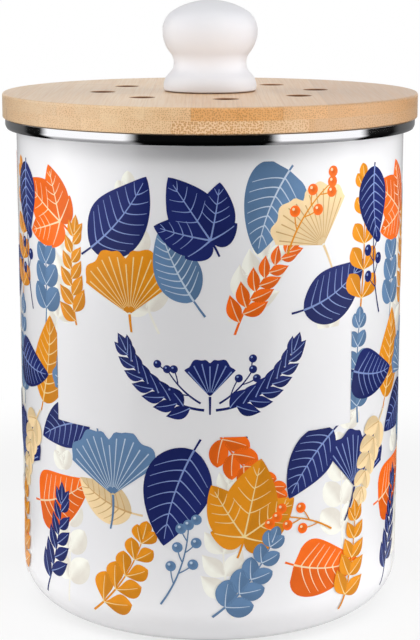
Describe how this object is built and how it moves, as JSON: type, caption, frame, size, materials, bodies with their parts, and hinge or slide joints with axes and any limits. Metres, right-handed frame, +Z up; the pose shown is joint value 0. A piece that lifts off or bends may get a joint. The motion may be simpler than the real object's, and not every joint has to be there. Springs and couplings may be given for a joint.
{
  "type": "compost caddy",
  "caption": "White enamelled steel kitchen caddy with a vented bamboo lid, round knob, charcoal filter and a lift-out inner bucket with a bail.",
  "frame": {"origin": "centre of the foot ring on the surface that the caddy stands on", "axes": "+Z up along the pail's axis, -Y towards the front, +X to the viewer's right"},
  "size_m": [0.1924, 0.1924, 0.283],
  "materials": {
    "enamel": "glossy white vitreous enamel with a printed leaf pattern",
    "polished_steel": "mirror polished stainless steel",
    "bamboo": "sanded laminated bamboo with a thin satin oil",
    "silicone": "translucent white silicone",
    "glaze": "soft gloss white glaze",
    "brass": "plain turned brass",
    "steel": "zinc-bright steel",
    "felt": "charcoal felt",
    "plastic": "grey moulded polypropylene"
  },
  "bodies": {
    "pail": {"enamel_pail": "enamel", "steel_rim": "polished_steel"},
    "bucket": {"inner_bucket": "plastic"},
    "bail": {"bail_handle": "plastic"},
    "lid": {"bamboo_lid": "bamboo", "plug_ring": "bamboo", "lid_seal": "silicone", "knob": "glaze", "knob_insert": "brass", "knob_screw": "steel", "knob_washer": "steel", "carbon_filter": "felt", "clip_screws": "steel", "clip_washers": "steel"},
    "clip_back": {"filter_clip_1": "steel"},
    "clip_left": {"filter_clip_2": "steel"},
    "clip_right": {"filter_clip_3": "steel"}
  },
  "joints": [
    {"name": "bucket_lift", "type": "slide", "parent": "pail", "child": "bucket", "axis": [0, 0, 1], "range_m": [0, 0.24]},
    {"name": "lid_lift", "type": "slide", "parent": "bucket", "child": "lid", "axis": [0, 0, 1], "range_m": [0, 0.2]},
    {"name": "bail_swing", "type": "hinge", "parent": "bucket", "child": "bail", "pos_m": [0, 0, 0.2043], "axis": [-1, 0, 0], "range_deg": [0, 90]},
    {"name": "clip_back_turn", "type": "hinge", "parent": "lid", "child": "clip_back", "pos_m": [0, 0.07222, 0.2147], "axis": [0, 0, 1], "range_deg": [-90, 90]},
    {"name": "clip_left_turn", "type": "hinge", "parent": "lid", "child": "clip_left", "pos_m": [-0.06255, -0.03611, 0.2147], "axis": [0, 0, 1], "range_deg": [-90, 90]},
    {"name": "clip_right_turn", "type": "hinge", "parent": "lid", "child": "clip_right", "pos_m": [0.06255, -0.03611, 0.2147], "axis": [0, 0, 1], "range_deg": [-90, 90]}
  ],
  "couplings": [
    {"joint": "bail_swing", "follows": "lid_lift", "rad_per_m": 7.85}
  ]
}
